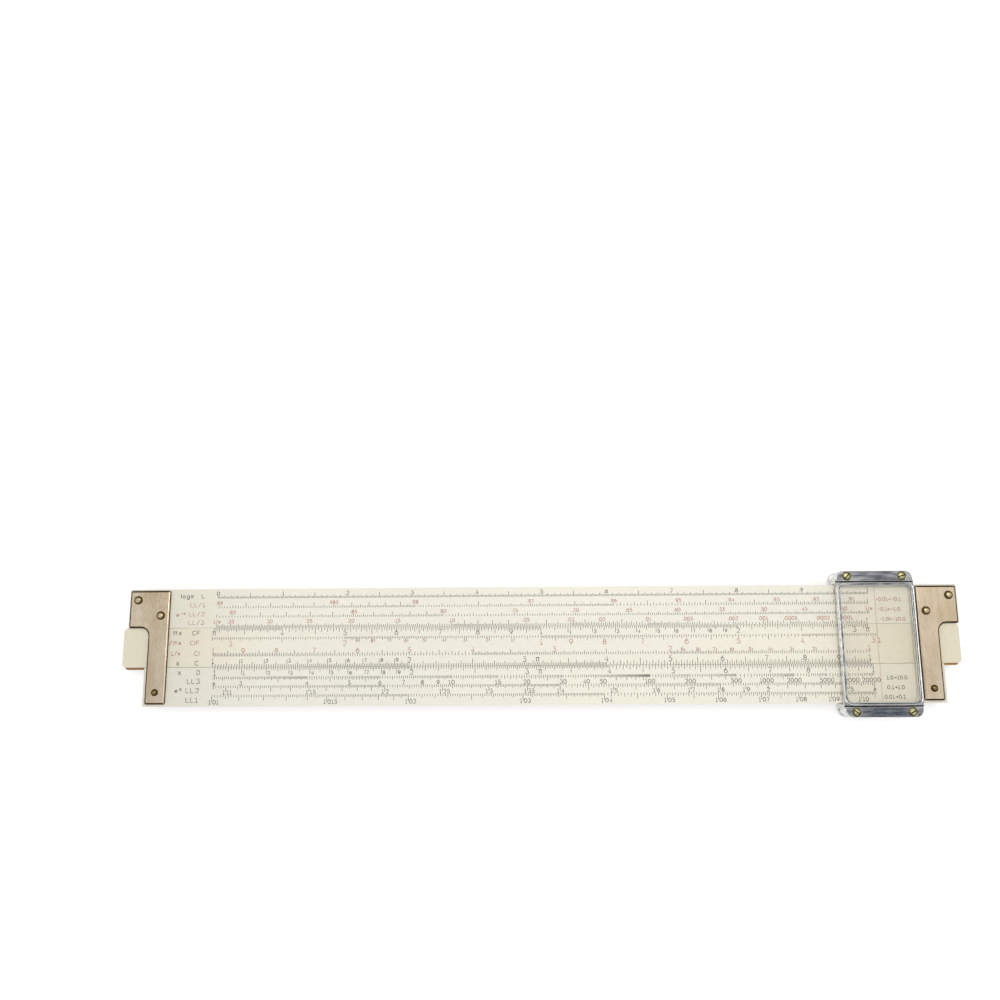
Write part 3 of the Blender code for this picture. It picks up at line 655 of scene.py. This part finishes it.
# a row's at gives a value's place as a part of the scale's length, and its steps are (first, last, step);
# base is where the ticks stand, side is the way they point, ticks are the short, middle and long ones; between
# is where small numbers start and the side of their ticks that they stand on; p is printed as pi
decade, decades = "1 2 3 4 5 6 7 8 9 10", "1 2 3 4 5 6 7 8 9 10 20 30 40 50 60 70 80 90 100"
cScale = {"at": log10, "steps": [(1, 2, 0.01), (2, 4, 0.02), (4, 10, 0.05)], "numbers": decade,
          "marks": [(math.pi, "p")], "between": (1, 1)}
inverse = {"at": lambda v: 1 - log10(v), "steps": cScale["steps"], "numbers": decade, "ink": "red"}
squares = {"at": lambda v: log10(v) / 2, "numbers": decades,
           "steps": [(1, 2, 0.02), (2, 5, 0.05), (5, 10, 0.1), (10, 20, 0.2), (20, 50, 0.5), (50, 100, 1)]}
frontRows = {
    "rule_body": {
        "L": {"base": 18.6, "side": 1, "ticks": (0.75, 1.2, 2.1), "stem": 0.95, "numberAt": 20.5,
              "size": 1.45, "at": lambda v: v, "steps": [(0, 1, 0.002)],
              "numbers": "0 .1 .2 .3 .4 .5 .6 .7 .8 .9 1"},
        "LL/1": {"base": 14.85, "side": 1, "ticks": (0.75, 1.2, 2.0), "stem": 1.2, "numberAt": 16.85,
                 "size": 1.3, "ink": "red", "at": logLog(2, -1),
                 "steps": [(0.905, 0.96, 0.0005), (0.96, 0.98, 0.0002), (0.98, 0.99, 0.0001)],
                 "numbers": ".99 .985 .98 .97 .96 .95 .94 .93 .92 .91"},
        "LL/2": {"base": 11.25, "side": 1, "ticks": (0.75, 1.2, 2.0), "stem": 1.2, "numberAt": 13.25,
                 "size": 1.3, "ink": "red", "at": logLog(1, -1),
                 "steps": [(1 / math.e, 0.8, 0.002), (0.8, 0.905, 0.001)],
                 "numbers": ".90 .85 .80 .75 .70 .65 .60 .55 .50 .45 .40", "marks": [(1 / math.e, "1/e")]},
        "LL/3": {"base": 7.5, "side": 1, "ticks": (0.8, 1.35, 2.2), "stem": 1.4, "numberAt": 9.75,
                 "size": 1.3, "ink": "red", "at": logLog(0, -1),
                 "steps": [(0.0000454, 0.0001, 0.000005), (0.0001, 0.0002, 0.00001),
                           (0.0002, 0.0005, 0.00002), (0.0005, 0.001, 0.00005), (0.001, 0.002, 0.0001),
                           (0.002, 0.01, 0.0002), (0.01, 0.03, 0.0005), (0.03, 0.1, 0.001),
                           (0.1, 1 / math.e, 0.002)],
                 "numbers": ".35 .30 .25 .20 .15 .10 .05 .03 .02 .01 .005 .002 .001 .0005 .0002 .0001",
                 "marks": [(1 / math.e, "1/e")]},
        "D": {**cScale, "base": -7.62, "side": -1, "ticks": (0.95, 1.6, 2.65), "stem": 1.15,
              "numberAt": -9.75, "size": 1.9},
        "LL3": {"base": -11.1, "side": -1, "ticks": (0.95, 1.4, 2.1), "stem": 1.2, "numberAt": -13.6,
                "size": 1.5, "at": logLog(0),
                "steps": [(math.e, 4, 0.02), (4, 6, 0.05), (6, 10, 0.1), (10, 15, 0.2), (15, 30, 0.5),
                          (30, 100, 1), (100, 200, 5), (200, 500, 10), (500, 2000, 50), (2000, 5000, 200),
                          (5000, 10000, 500), (10000, 22000, 1000)],
                "numbers": "3 4 5 6 7 8 9 10 15 20 30 40 50 100 200 500 1000 2000 5000 10000 20000",
                "marks": [(math.e, "e")]},
        "LL2": {"base": -14.45, "side": -1, "ticks": (0.9, 1.4, 2.2), "stem": 2.3, "numberAt": -16.95,
                "size": 1.5, "split": True, "at": logLog(1),
                "steps": [(1.105, 1.2, 0.001), (1.2, 1.4, 0.002), (1.4, 1.8, 0.005), (1.8, 2.5, 0.01),
                          (2.5, math.e, 0.02)],
                "numbers": "1.11 1.15 1.2 1.25 1.3 1.35 1.4 1.5 1.6 1.7 1.8 1.9 2 2.5",
                "marks": [(math.e, "e")]},
        "LL1": {"base": -17.9, "side": -1, "ticks": (0.9, 1.4, 2.2), "stem": 2.3, "numberAt": -20.6,
                "size": 1.5, "split": True, "at": logLog(2),
                "steps": [(1.01, 1.02, 0.0001), (1.02, 1.04, 0.0002), (1.04, 1.1055, 0.0005)],
                "numbers": "1.01 1.015 1.02 1.03 1.04 1.05 1.06 1.07 1.08 1.09 1.10"},
    },
    "slide": {
        "CF": {"base": 7.24, "side": -1, "ticks": (0.9, 1.6, 2.5), "stem": 1.1, "numberAt": 5.3,
               "size": 1.9, "at": lambda v: log10(v / math.pi),
               "steps": [(math.pi, 4, 0.02), (4, 10, 0.05), (10, 20, 0.1), (20, 10 * math.pi, 0.2)],
               "numbers": "4 5 6 7 8 9 10 20 30", "marks": [(math.pi, "p"), (10 * math.pi, "p")],
               "between": (10, 1)},
        "CIF": {"base": 3.75, "side": -1, "ticks": (0.8, 1.3, 2.0), "stem": 1.0, "numberAt": 1.3,
                "size": 2.0, "ink": "red", "at": lambda v: log10(10 / math.pi) - log10(v),
                "steps": [(0.31, 0.4, 0.002), (0.4, 1, 0.005), (1, 2, 0.01), (2, 3.2, 0.02)],
                "numbers": "3 2 1 .9 .8 .7 .6 .5 .4", "marks": [(0.31, "3.1")], "between": (1, -1)},
        "CI": {**inverse, "base": -3.5, "side": 1, "ticks": (0.95, 1.45, 2.1), "stem": 1.1,
               "numberAt": -1.45, "size": 1.9, "between": (1, -1)},
        "C": {**cScale, "base": -7.42, "side": 1, "ticks": (0.95, 1.7, 2.7), "stem": 1.15, "numberAt": -5.2,
              "size": 1.9},
    },
}
backRows = {
    "rule_body": {
        "LL/0": {"base": 17.7, "side": 1, "ticks": (0.75, 1.2, 2.0), "stem": 1.2, "numberAt": 19.8,
                 "size": 1.3, "ink": "red", "at": logLog(3, -1),
                 "steps": [(0.99, 0.996, 0.00005), (0.996, 0.998, 0.00002), (0.998, 0.999, 0.00001)],
                 "numbers": ".999 .9985 .998 .997 .996 .995 .994 .993 .992 .991 .99"},
        "K": {"base": 12.6, "side": 1, "ticks": (0.8, 1.3, 2.2), "stem": 1.15, "numberAt": 14.8,
              "size": 1.6, "at": lambda v: log10(v) / 3,
              "steps": [(1, 3, 0.05), (3, 6, 0.1), (6, 10, 0.2), (10, 30, 0.5), (30, 60, 1), (60, 100, 2),
                        (100, 300, 5), (300, 600, 10), (600, 1000, 20)],
              "numbers": decades + " 200 300 400 500 600 700 800 900 1000"},
        "A": {**squares, "base": 7.64, "side": 1, "ticks": (0.9, 1.5, 2.4), "stem": 1.15,
              "numberAt": 9.75, "size": 1.7},
        "D": {**cScale, "base": -7.42, "side": -1, "ticks": (0.95, 1.6, 2.65), "stem": 1.15,
              "numberAt": -9.6, "size": 1.7},
        "DI": {**inverse, "base": -12.6, "side": -1, "ticks": (0.8, 1.3, 2.0), "stem": 1.0,
               "numberAt": -14.7, "size": 1.6},
        "LL0": {"base": -17.5, "side": -1, "ticks": (0.8, 1.3, 2.0), "stem": 2.1, "numberAt": -19.6,
                "size": 1.5, "split": True, "at": logLog(3),
                "steps": [(1.001, 1.002, 0.00001), (1.002, 1.004, 0.00002), (1.004, 1.01, 0.00005)],
                "numbers": "1.001 1.0015 1.002 1.003 1.004 1.005 1.006 1.007 1.008 1.009 1.01"},
    },
    "slide": {
        "B": {**squares, "base": 7.42, "side": -1, "ticks": (0.9, 1.5, 2.4), "stem": 1.15,
              "numberAt": 5.3, "size": 1.7},
        "T": {"base": 3.3, "side": -1, "ticks": (0.75, 1.2, 1.8), "stem": 1.0, "numberAt": 1.3, "size": 1.4,
              "at": lambda v: log10(10 * math.tan(math.radians(v))),
              "steps": [(5.71, 10, 0.05), (10, 25, 0.1), (25, 45, 0.2)],
              "numbers": "6 7 8 9 10 15 20 25 30 35 40 45"},
        "S": {"base": -3.2, "side": 1, "ticks": (0.75, 1.2, 1.8), "stem": 1.0, "numberAt": -1.3,
              "size": 1.4, "at": lambda v: log10(10 * math.sin(math.radians(v))),
              "steps": [(5.74, 10, 0.05), (10, 20, 0.1), (20, 30, 0.2), (30, 60, 0.5), (60, 80, 1),
                        (80, 90, 5)],
              "numbers": "6 7 8 9 10 15 20 25 30 40 50 60 90"},
        "C": {**cScale, "base": -7.22, "side": 1, "ticks": (0.95, 1.7, 2.7), "stem": 1.15,
              "numberAt": -5.05, "size": 1.7},
    },
}


firstDigitOnly = ("C", "D", "CI", "DI", "CF", "CIF")
tickEvery = {1: (5, 10), 2: (5, 25), 5: (2, 10)}     # of middle and long ticks, by the step's first digit
# how numbers stand at their ticks: those split by their tick, and the small ones between two numbers
numberPlace = {"splitGap": 0.42, "splitFoot": 0.35, "smallSize": 1.3, "smallGap": 0.55, "smallDrop": 0.45}


def engrave(body, face, name, row):
    base, side, size, tall = row["base"], row["side"], row["size"], row["ticks"]
    ink, numberAt, place = row.get("ink", "black"), row["numberAt"], numberPlace
    start = index["left"] + (slideShift if body == "slide" else 0.0)

    def spot(value):
        return start + index["length"] * row["at"](value)

    numbers = [(float(text), text) for text in row["numbers"].split()] + row.get("marks", [])
    first, way = row.get("between", (0, 0))
    small = [(first * (1 + step / 10), str(step)) for step in range(1, 10)] if way else []
    done = {round(spot(value), 2) for value, _ in numbers + small}
    for first, last, step in row["steps"]:
        middle, long = tickEvery[int(f"{step:.0e}"[0])]
        for count in range(math.ceil(first / step - 1e-6), math.floor(last / step + 1e-6) + 1):
            x = spot(count * step)
            if round(x, 2) not in done:
                done.add(round(x, 2))
                height = tall[2] if count % long == 0 else tall[1] if count % middle == 0 else tall[0]
                tick(body, face, x, base, base + side * height)
    for value, text in numbers:
        x = spot(value)
        tick(body, face, x, base, base + side * row["stem"])
        if row.get("split") and text[0] == "1" and "." in text:
            # the tick stands where the decimal point would be
            write(body, face, ink, "1", x - place["splitGap"], numberAt, size, "right")
            write(body, face, ink, text[2:], x + place["splitGap"], numberAt, size, "left")
            tick(body, face, x, base, numberAt - size * place["splitFoot"] if side > 0 else numberAt)
            continue
        if name in firstDigitOnly and text not in ("p", "3.1"):
            text = text.replace(".", "").replace("0", "")
        write(body, face, ink, text, x, numberAt, size)
    for value, text in small:
        x = spot(value)
        tick(body, face, x, base, base + side * tall[2])
        height = base + side * (tall[2] - place["smallDrop"])
        write(body, face, ink, text, x + way * place["smallGap"], height, place["smallSize"],
              "left" if way > 0 else "right")


for face, rows in (("front", frontRows), ("back", backRows)):
    for body, scales in rows.items():
        for name, row in scales.items():
            engrave(body, face, name, row)

# names of the scales and what they give, at the left, as (text, right end, height, size)
frontLabels = {
    ("rule_body", "black"): [
        ("L", -130.3, 19.6, 1.6), ("logx", -134.6, 19.6, 1.6), ("D", -130.6, -9.5, 1.55),
        ("x", -137.9, -9.5, 1.6), ("LL3", -130.5, -12.8, 1.7), ("LL2", -130.7, -16.2, 1.7),
        ("LL1", -130.9, -19.7, 1.7), ("e", -138.8, -16.2, 1.5), ("x", -137.4, -15.7, 1.1)],
    ("rule_body", "red"): [
        ("LL/1", -130.0, 16.2, 1.55), ("LL/2", -130.0, 12.7, 1.55), ("LL/3", -130.1, 9.4, 1.55),
        ("e", -139.8, 12.5, 1.5), ("-x", -137.4, 13.0, 1.1)],
    ("slide", "black"): [
        ("CF", -130.5, 5.45, 1.6), ("px", -137.6, 5.45, 1.6), ("C", -130.6, -6.0, 1.6),
        ("x", -137.9, -6.0, 1.6)],
    ("slide", "red"): [
        ("CIF", -130.6, 1.7, 1.6), ("1/px", -137.6, 1.7, 1.5), ("CI", -130.4, -2.3, 1.6),
        ("1/x", -137.7, -2.3, 1.35)],
}
backLabels = {
    ("rule_body", "black"): [("K", 13.9), ("A", 8.9), ("D", -8.9), ("LL0", -18.6)],
    ("rule_body", "red"): [("LL/0", 18.8), ("DI", -13.7)],
    ("slide", "black"): [("B", 6.0), ("T", 2.2), ("S", -2.2), ("C", -5.8)],
}
# the ranges of the log log scales, at the right; < and > are printed as arrows
frontRanges = {
    "red": [("-0.01<-0.1", 132.7, 16.7), ("-0.1<-1.0", 132.8, 12.9), ("-1.0<-10.0", 133.8, 9.1)],
    "black": [("1.0>10.0", 133.6, -12.8), ("0.1>1.0", 132.9, -16.4), ("0.01>0.1", 132.3, -19.9)],
}
labelStyle = {"align": "right", "spread": 1.35, "stretch": 1.3}
backLabelEnd, backLabelSize, rangeSize, rangeStretch = -130.0, 1.4, 1.35, 0.95
for (body, ink), labels in frontLabels.items():
    for text, x, y, size in labels:
        write(body, "front", ink, text, x + (slideShift if body == "slide" else 0), y, size, **labelStyle)
for (body, ink), labels in backLabels.items():
    for text, y in labels:
        write(body, "back", ink, text, backLabelEnd, y, backLabelSize, **labelStyle)
for ink, ranges in frontRanges.items():
    for text, x, y in ranges:
        write("rule_body", "front", ink, text, x, y, rangeSize, stretch=rangeStretch)
print("ticks:", sum(len(mark["ticks"]) for mark in marks.values()),
      "strokes:", sum(len(mark["strokes"]) for mark in marks.values()))

inkCut = {"tickWidth": 0.18, "strokeWidth": 0.22, "proud": 0.008, "sunk": 0.022}


def tickTree():
    # a thin bar on every point, as long as the point's own attribute says
    tree, given = newTree("scaleTicks", [("Width", "Float"), ("Thickness", "Float"), ("Ink", "Material")])
    size = addNode(tree, "ShaderNodeCombineXYZ", inputs={
        "X": given["Width"], "Y": 1.0, "Z": given["Thickness"]})
    bar = addNode(tree, "GeometryNodeMeshCube", inputs={"Size": size.outputs["Vector"]})
    stood = addNode(tree, "GeometryNodeTransform", inputs={
        "Geometry": bar.outputs["Mesh"], "Translation": (0, 0.5, 0)})
    tall = addNode(tree, "GeometryNodeInputNamedAttribute", {"data_type": "FLOAT"}, {"Name": "tickLength"})
    stretch = addNode(tree, "ShaderNodeCombineXYZ", inputs={
        "X": 1.0, "Y": tall.outputs["Attribute"], "Z": 1.0})
    placed = addNode(tree, "GeometryNodeInstanceOnPoints", inputs={
        "Points": given["Geometry"], "Instance": stood.outputs["Geometry"],
        "Scale": stretch.outputs["Vector"]})
    endTree(tree, placed.outputs["Instances"], given["Ink"])
    return tree


def strokeTree():
    # a flat ribbon along every stroke
    tree, given = newTree("engravedStrokes", [
        ("Width", "Float"), ("Thickness", "Float"), ("Ink", "Material")])
    line = addNode(tree, "GeometryNodeMeshToCurve", inputs={"Mesh": given["Geometry"]})
    level = addNode(tree, "GeometryNodeSetCurveNormal", {"mode": "Z_UP"}, {"Curve": line.outputs["Curve"]})
    outline = addNode(tree, "GeometryNodeCurvePrimitiveQuadrilateral", inputs={
        "Width": given["Width"], "Height": given["Thickness"]})
    swept = addNode(tree, "GeometryNodeCurveToMesh", inputs={
        "Curve": level.outputs["Curve"], "Profile Curve": outline.outputs["Curve"], "Fill Caps": True})
    endTree(tree, swept.outputs["Mesh"], given["Ink"])
    return tree


def markHeight(body, face):
    height, way = faces[body, face]
    return height + way * (inkCut["proud"] - inkCut["sunk"]) / 2


def tickMesh(body, face, items):
    way = faces[body, face][1]
    mesh = bpy.data.meshes.new("tickPoints")
    z = markHeight(body, face)
    mesh.from_pydata([(x * mm, (y if way > 0 else -y - tall) * mm, z * mm) for x, y, tall in items], [], [])
    length = mesh.attributes.new("tickLength", "FLOAT", "POINT")
    length.data.foreach_set("value", [tall * mm for _, _, tall in items])
    return mesh


def strokeMesh(body, face, lines):
    way, z = faces[body, face][1], markHeight(body, face)
    points, edges = [], []
    for line in lines:
        start = len(points)
        closed = math.dist(line[0], line[-1]) < 1e-6
        kept = line[:-1] if closed else line
        points += [(x * mm, way * y * mm, z * mm) for x, y in kept]
        edges += [(start + step, start + step + 1) for step in range(len(kept) - 1)]
        if closed:
            edges.append((start + len(kept) - 1, start))
    mesh = bpy.data.meshes.new("strokePoints")
    mesh.from_pydata(points, edges, [])
    return mesh


def outward(mesh):
    shape = bmesh.new()
    shape.from_mesh(mesh)
    bmesh.ops.recalc_face_normals(shape, faces=shape.faces)
    shape.to_mesh(mesh)
    shape.free()


barTree, ribbonTree = tickTree(), strokeTree()
thickness = (inkCut["proud"] + inkCut["sunk"]) * mm
bodyNames = {"rule_body": "rule", "slide": "slide"}
for (body, face, ink), mark in marks.items():
    title = bodyNames[body] + face.capitalize() + ink.capitalize()
    if mark["ticks"]:
        holder = runTree(title + "Ticks", tickMesh(body, face, mark["ticks"]), barTree, {
            "Width": inkCut["tickWidth"] * mm, "Thickness": thickness, "Ink": inks[ink]})
        settle(holder, body)
    if mark["strokes"]:
        holder = runTree(title + "Figures", strokeMesh(body, face, mark["strokes"]), ribbonTree, {
            "Width": inkCut["strokeWidth"] * mm, "Thickness": thickness, "Ink": inks[ink]})
        outward(settle(holder, body).data)


# the hairline under each window

hairline = {"width": 0.08, "thickness": 0.03, "endGap": 0.35}
for face, node, end in (("Front", "cursor_front_glass", 0), ("Back", "cursor_back_glass", 1)):
    low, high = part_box(node)
    x = (low.x + high.x) / 2
    z = (low, high)[end].z
    shape = bmesh.new()
    bmesh.ops.create_cube(shape, size=1)
    length = high.y - low.y - 2 * hairline["endGap"] * mm
    bmesh.ops.scale(shape, verts=shape.verts, vec=(
        hairline["width"] * mm, length, hairline["thickness"] * mm))
    bmesh.ops.translate(shape, vec=(x, (low.y + high.y) / 2, z), verts=shape.verts)
    mesh = meshFrom(shape, "cursorHairline" + face)
    mesh.materials.append(inks["red"])
    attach(linkObject("cursorHairline" + face, mesh), "cursor")
print("hairlines drawn")


# table, studio and camera

studio = {
    "tableHalf": 1.6, "tableColour": "#C4C4C4", "tableWhite": 0.55,
    "lamps": {
        # place in metres, size, watts, colour
        "window": ((0.14, 0.26, 0.85), 0.40, 1.9, "#FFF6E6"),
        "fill": ((-0.50, -0.35, 0.70), 0.50, 0.6, "#F2F6FF"),
    },
    # how bright the studio is at each height: 0 is the horizon, 1 is straight up
    "walls": [(0.0, 0.95), (0.22, 0.95), (0.30, 0.36), (0.52, 0.40), (0.62, 1.0), (1.0, 1.0)],
    # low windows at both ends of the rule: their height and half sizes as parts of a direction, how soft they
    # are, and their brightness
    "ends": {"height": 0.32, "half": 0.10, "aside": 0.45, "edge": 0.4, "bright": 2.6},
    # dark places overhead: the middle and the half sizes of each as parts of a direction, how soft it is, and
    # its colour
    "dark": [
        {"middle": (0.367, -0.02), "half": (0.042, 0.18), "edge": 0.5, "colour": "#202E4A"},
        {"middle": (-0.37, -0.16), "half": (0.25, 0.16), "edge": 0.7, "colour": "#48484C"},
    ],
}
bpy.ops.mesh.primitive_plane_add(size=2 * studio["tableHalf"])
table = bpy.context.object
table.name = "table"
# matt white board, which the camera sees as bright as the white round it
board, tree, surface, coords = newMaterial(
    "whiteTable", Roughness=0.8, BaseColor=linear(studio["tableColour"]))
ray = addNode(tree, "ShaderNodeLightPath").outputs
seen = calc(tree, "MAXIMUM", calc(tree, "MAXIMUM", ray["Is Camera Ray"], ray["Is Glossy Ray"]),
            ray["Is Transmission Ray"])
glow = addNode(tree, "ShaderNodeEmission", inputs={
    "Color": (1, 1, 1, 1), "Strength": calc(tree, "MULTIPLY", seen, studio["tableWhite"])})
both = addNode(tree, "ShaderNodeAddShader", inputs={0: surface.outputs["BSDF"], 1: glow.outputs["Emission"]})
tree.links.new(both.outputs["Shader"], tree.nodes["Material Output"].inputs["Surface"])
table.data.materials.append(board)

world = bpy.data.worlds.new("studio")
scene.world = world
world.use_nodes = True
tree = world.node_tree
walls = tree.nodes["Background"]
parts = axes(tree, addNode(tree, "ShaderNodeTexCoord").outputs["Generated"])
grey = addNode(tree, "ShaderNodeValToRGB", inputs={"Fac": parts["Z"]})
for spot, (place, level) in enumerate(studio["walls"]):
    stop = grey.color_ramp.elements[spot] if spot < 2 else grey.color_ramp.elements.new(place)
    stop.position, stop.color = place, (level, level, level, 1)


def within(size, half, middle=0.0):
    # how far a part of the direction is from the middle, squared: 1 at the half width
    away = calc(tree, "DIVIDE", calc(tree, "SUBTRACT", size, middle), half)
    return calc(tree, "MULTIPLY", away, away)


def softSpot(first, second, edge):
    # 1 inside an oval, 0 outside it
    return span(tree, calc(tree, "ADD", first, second), 0.0, 1.0, 1 + edge, 1 - edge, "SMOOTHSTEP")


ends, shade = studio["ends"], grey.outputs["Color"]
above = calc(tree, "GREATER_THAN", parts["Z"], 0.0)
for dark in studio["dark"]:
    spot = softSpot(within(parts["X"], dark["half"][0], dark["middle"][0]),
                    within(parts["Y"], dark["half"][1], dark["middle"][1]), dark["edge"])
    shade = blendColours(tree, "MIX", calc(tree, "MULTIPLY", spot, above), shade, linear(dark["colour"]))
aside = softSpot(
    within(parts["Z"], ends["half"], ends["height"]), within(parts["Y"], ends["aside"]), ends["edge"])
shade = blendColours(tree, "MIX", aside, shade, (ends["bright"],) * 3 + (1.0,))
tree.links.new(shade, walls.inputs["Color"])
# the camera, and what is seen through glass, meet plain white; all else meets the studio's walls and ceiling
white = addNode(tree, "ShaderNodeBackground", inputs={"Color": (1, 1, 1, 1), "Strength": 1.0})
ray = addNode(tree, "ShaderNodeLightPath").outputs
plain = calc(tree, "MAXIMUM", ray["Is Camera Ray"], ray["Is Transmission Ray"])
mixed = addNode(tree, "ShaderNodeMixShader", inputs={
    0: plain, 1: walls.outputs["Background"], 2: white.outputs["Background"]})
tree.links.new(mixed.outputs["Shader"], tree.nodes["World Output"].inputs["Surface"])

for name, (place, size, watts, colour) in studio["lamps"].items():
    lamp = bpy.data.lights.new(name, "AREA")
    lamp.shape, lamp.size, lamp.energy, lamp.color = "SQUARE", size, watts, linear(colour)[:3]
    holder = bpy.data.objects.new(name, lamp)
    scene.collection.objects.link(holder)
    holder.location = place
    holder.rotation_euler = (-Vector(place)).to_track_quat("-Z", "Y").to_euler()

# over the middle of the rule, tipped away from the reader, so that the rule lies low in the frame
eye = {"place": (-11.36, -8.83, 360.0), "turn": (0.18363, 0.01322, -0.00571), "lens": 32.756, "sensor": 36.0}
camera = bpy.data.cameras.new("camera")
camera.lens, camera.sensor_width = eye["lens"], eye["sensor"]
camera.clip_start, camera.clip_end = 0.01, 20
holder = bpy.data.objects.new("camera", camera)
scene.collection.objects.link(holder)
holder.location = Vector(eye["place"]) * mm
holder.rotation_euler = eye["turn"]
scene.camera = holder
print("studio ready")
